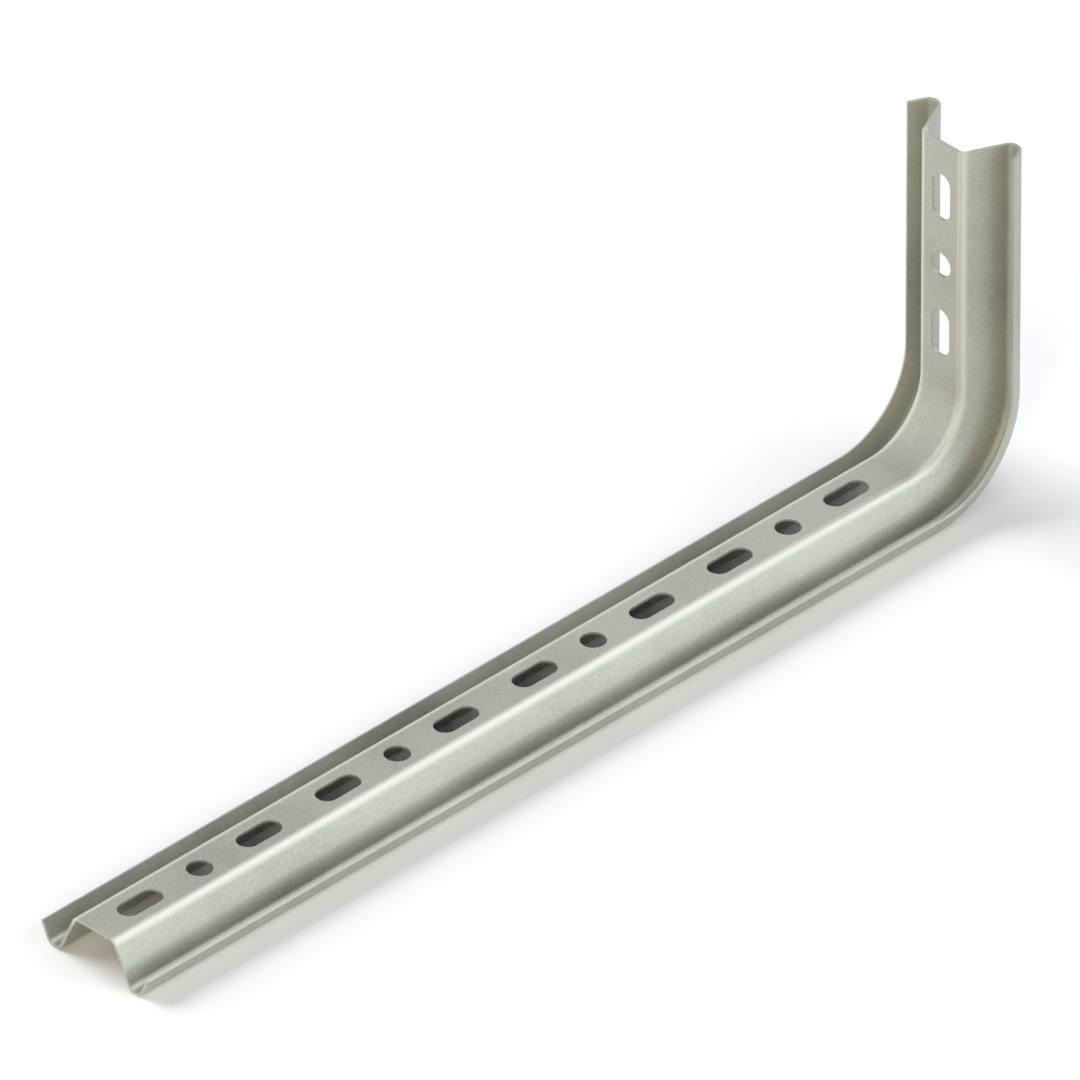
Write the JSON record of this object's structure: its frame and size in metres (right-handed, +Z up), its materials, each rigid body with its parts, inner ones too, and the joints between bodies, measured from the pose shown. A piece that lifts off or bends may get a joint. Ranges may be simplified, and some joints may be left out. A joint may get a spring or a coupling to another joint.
{
  "type": "wall bracket",
  "caption": "L-shaped bracket folded from one galvanised strip of lipped hat section, with a short slotted leg for the wall and a long slotted arm that carries a cable tray.",
  "frame": {"origin": "point on the middle plane where the wall's plane meets the plane under the arm", "axes": "+X out from the wall along the arm, +Y across the strip, +Z up along the leg"},
  "size_m": [0.36, 0.044, 0.12],
  "materials": {
    "galvanised_steel": "satin galvanised"
  },
  "bodies": {
    "root": {"bracket": "galvanised_steel"}
  },
  "joints": []
}
